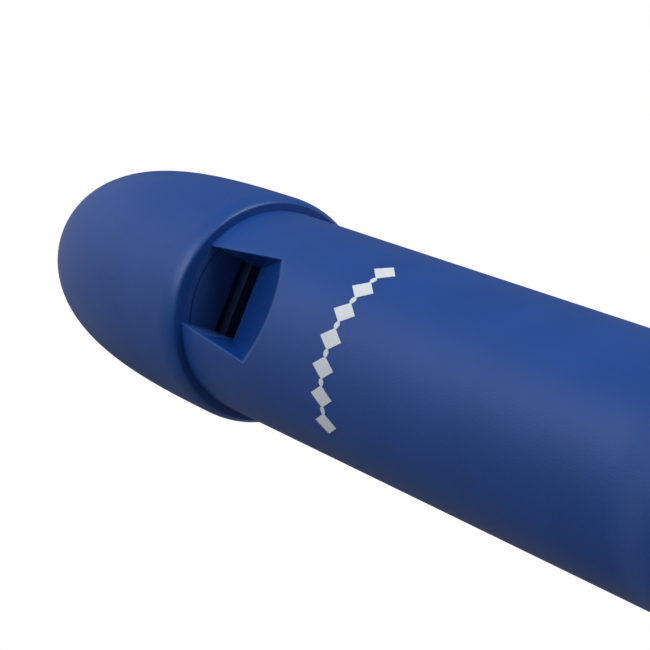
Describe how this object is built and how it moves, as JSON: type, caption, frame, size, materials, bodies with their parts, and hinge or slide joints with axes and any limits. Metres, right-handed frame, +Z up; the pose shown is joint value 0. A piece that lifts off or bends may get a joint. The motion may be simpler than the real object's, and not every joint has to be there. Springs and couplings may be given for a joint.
{
  "type": "soprano recorder",
  "caption": "Soprano recorder in three joints with a domed beak, a windway block and cork-sealed tenons that twist and pull apart.",
  "frame": {"origin": "centre of the foot's end face, where the recorder stands", "axes": "+Z up the bore from the foot to the beak's tip; -Y is the front, with the window and the finger holes; +Y is the thumb side; +X is to the right when the front is looked at"},
  "size_m": [0.026, 0.026, 0.3287],
  "materials": {
    "body_plastic": "satin moulded, fine grain",
    "block_plastic": "satin moulded",
    "print_ink": "thin printed ink, slightly uneven",
    "tenon_cork": "sanded cork, lightly greased"
  },
  "bodies": {
    "foot": {"foot_tube": "body_plastic"},
    "lower_cork": {"lower_tenon_cork": "tenon_cork"},
    "middle": {"middle_tube": "body_plastic"},
    "upper_cork": {"upper_tenon_cork": "tenon_cork"},
    "head": {"head_tube": "body_plastic", "beak_cap": "body_plastic", "block": "block_plastic", "printed_band": "print_ink"}
  },
  "joints": [
    {"name": "foot_pull", "type": "slide", "parent": "foot", "child": "lower_cork", "axis": [0, 0, 1], "range_m": [0, 0.0147]},
    {"name": "foot_twist", "type": "hinge", "parent": "lower_cork", "child": "middle", "pos_m": [0, 0, 0.055], "axis": [0, 0, 1], "continuous": true},
    {"name": "head_twist", "type": "hinge", "parent": "middle", "child": "upper_cork", "pos_m": [0, 0, 0.214], "axis": [0, 0, 1], "continuous": true},
    {"name": "head_pull", "type": "slide", "parent": "upper_cork", "child": "head", "axis": [0, 0, 1], "range_m": [0, 0.0225]}
  ]
}
